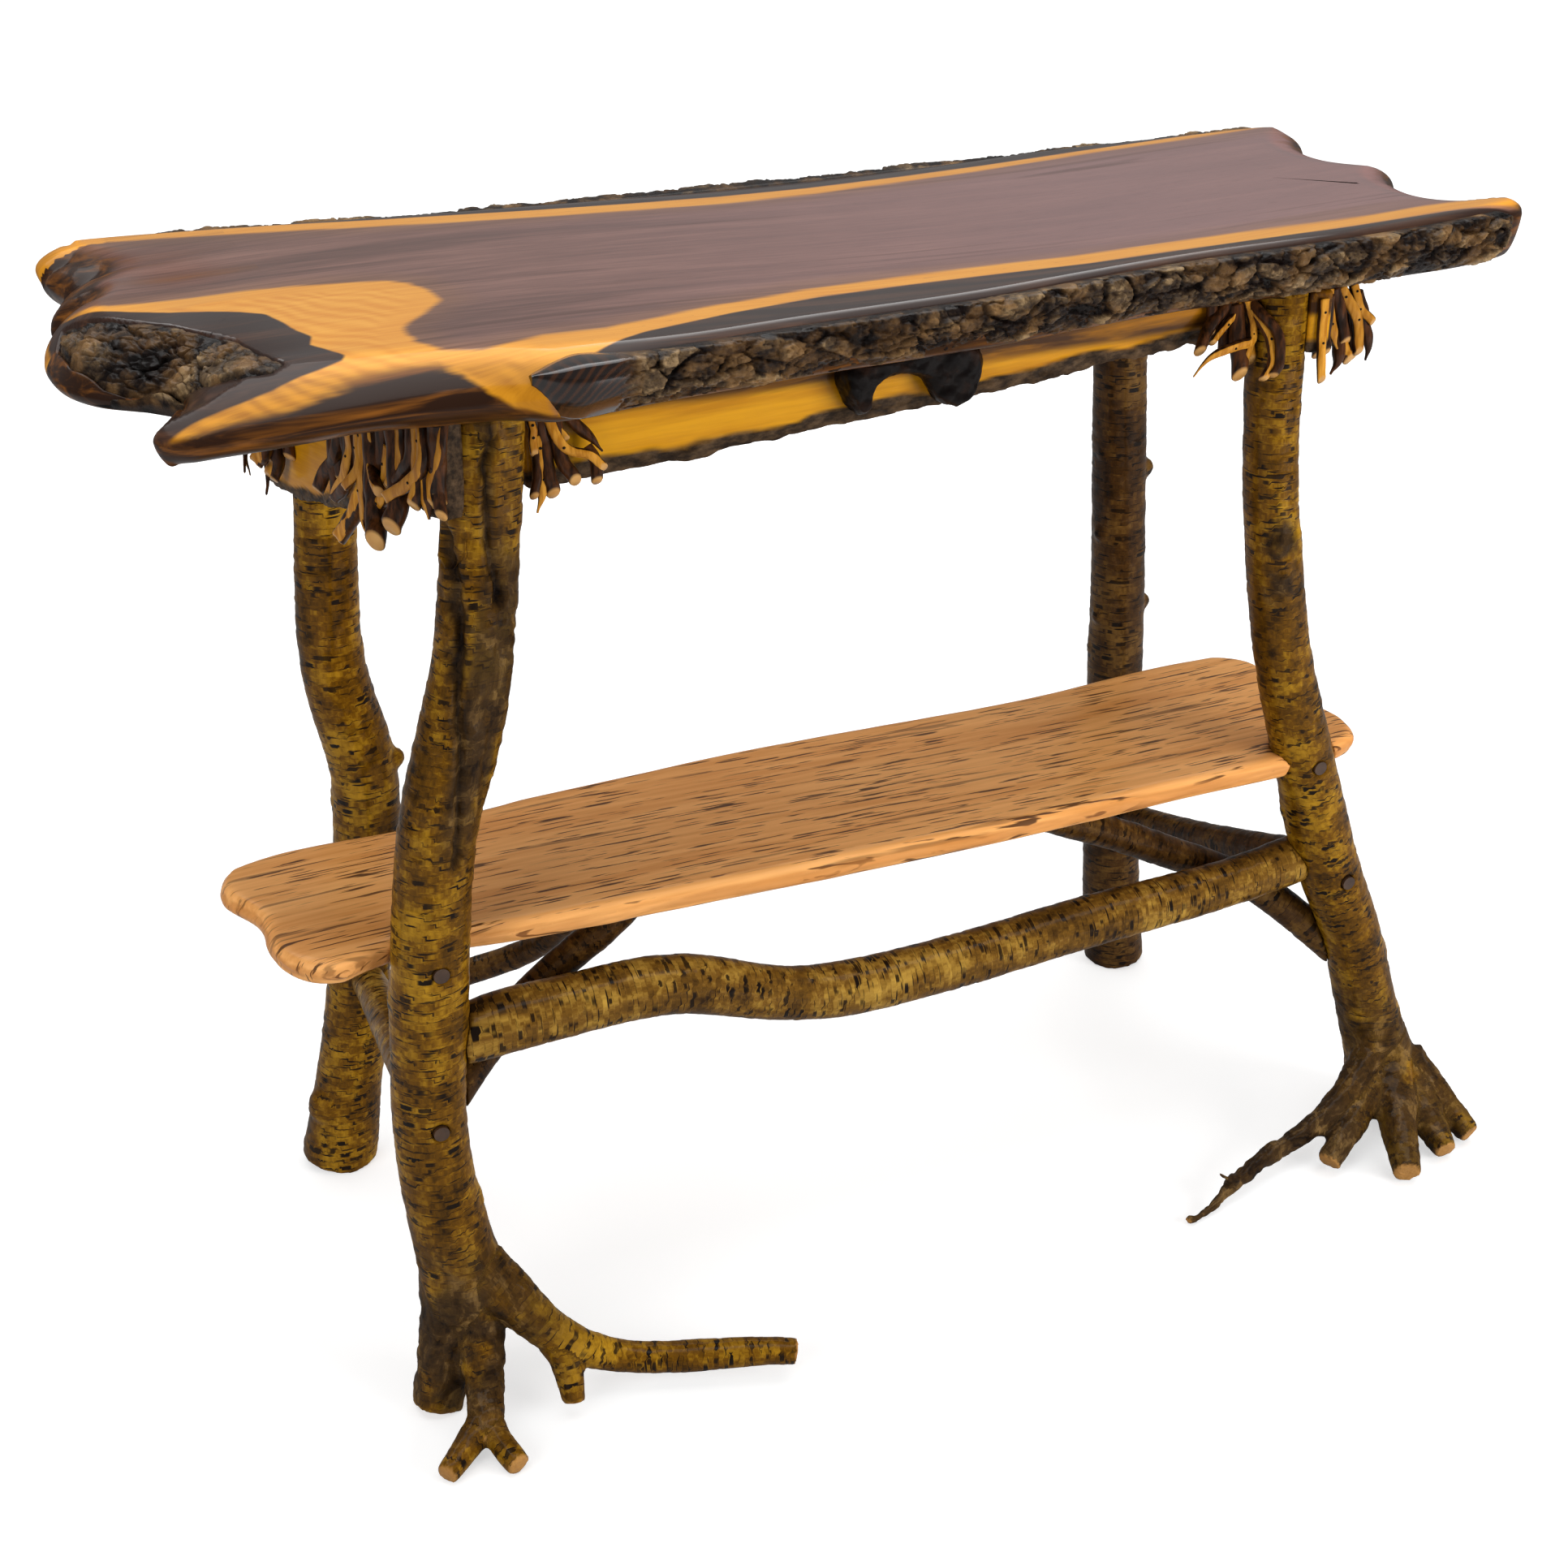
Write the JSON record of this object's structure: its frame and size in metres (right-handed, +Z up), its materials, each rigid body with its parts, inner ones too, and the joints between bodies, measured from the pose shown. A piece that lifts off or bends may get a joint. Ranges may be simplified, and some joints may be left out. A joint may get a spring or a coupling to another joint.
{
  "type": "rustic console table",
  "caption": "Rustic console table with a live-edge walnut top, branch legs with root feet, a lower shelf, twig trim and a shallow drawer behind the front board.",
  "frame": {"origin": "on the floor under the middle of the table's overall box", "axes": "+X along the table to the right as seen from the front, +Y from the front to the back, +Z up"},
  "size_m": [1.1272, 0.517, 0.84],
  "materials": {
    "walnut_slab": "polished clear varnish, reddish-brown heartwood with a yellow sapwood line",
    "walnut_bark": "rough natural bark, matte",
    "birch_bark": "smooth golden-brown bark under a satin varnish",
    "branch_bark": "smooth golden-brown bark under a satin varnish",
    "shelf_board": "honey-coloured board, satin varnish",
    "live_edge_board": "yellow sapwood board with a brown upper part, satin varnish",
    "drawer_box_wood": "pale planed wood",
    "dark_burl": "almost black polished burl",
    "shaved_twigs": "yellow shaved face with dark bark behind",
    "joinery_wood": "turned hardwood",
    "screw_steel": "zinc-plated steel"
  },
  "bodies": {
    "table": {"top_slab": "walnut_slab", "slab_front_bark": "walnut_bark", "slab_back_bark": "walnut_bark", "slab_crotch_bark": "walnut_bark", "front_left_leg": "birch_bark", "front_right_leg": "birch_bark", "back_left_leg": "birch_bark", "back_right_leg": "birch_bark", "front_stretcher": "branch_bark", "left_stretcher": "branch_bark", "right_stretcher": "branch_bark", "left_brace": "branch_bark", "right_brace": "branch_bark", "back_brace": "branch_bark", "lower_shelf": "shelf_board", "left_apron": "live_edge_board", "right_apron": "live_edge_board", "back_apron": "live_edge_board", "left_runner": "drawer_box_wood", "right_runner": "drawer_box_wood", "drawer_stops": "drawer_box_wood", "front_left_twigs": "shaved_twigs", "back_left_twigs": "shaved_twigs", "back_right_twigs": "shaved_twigs", "front_right_twigs": "shaved_twigs", "top_dowels": "joinery_wood", "stretcher_dowels": "joinery_wood", "leg_plugs": "joinery_wood", "leg_screws": "screw_steel", "apron_screws": "screw_steel", "runner_screws": "screw_steel"},
    "drawer": {"drawer_front": "live_edge_board", "drawer_left_side": "drawer_box_wood", "drawer_right_side": "drawer_box_wood", "drawer_back": "drawer_box_wood", "drawer_bottom": "drawer_box_wood", "drawer_pull": "dark_burl", "pull_screws": "screw_steel", "drawer_left_twigs": "shaved_twigs", "drawer_right_twigs": "shaved_twigs"}
  },
  "joints": [
    {"name": "drawer_slide", "type": "slide", "parent": "table", "child": "drawer", "axis": [0, -1, 0], "range_m": [0, 0.17]}
  ]
}
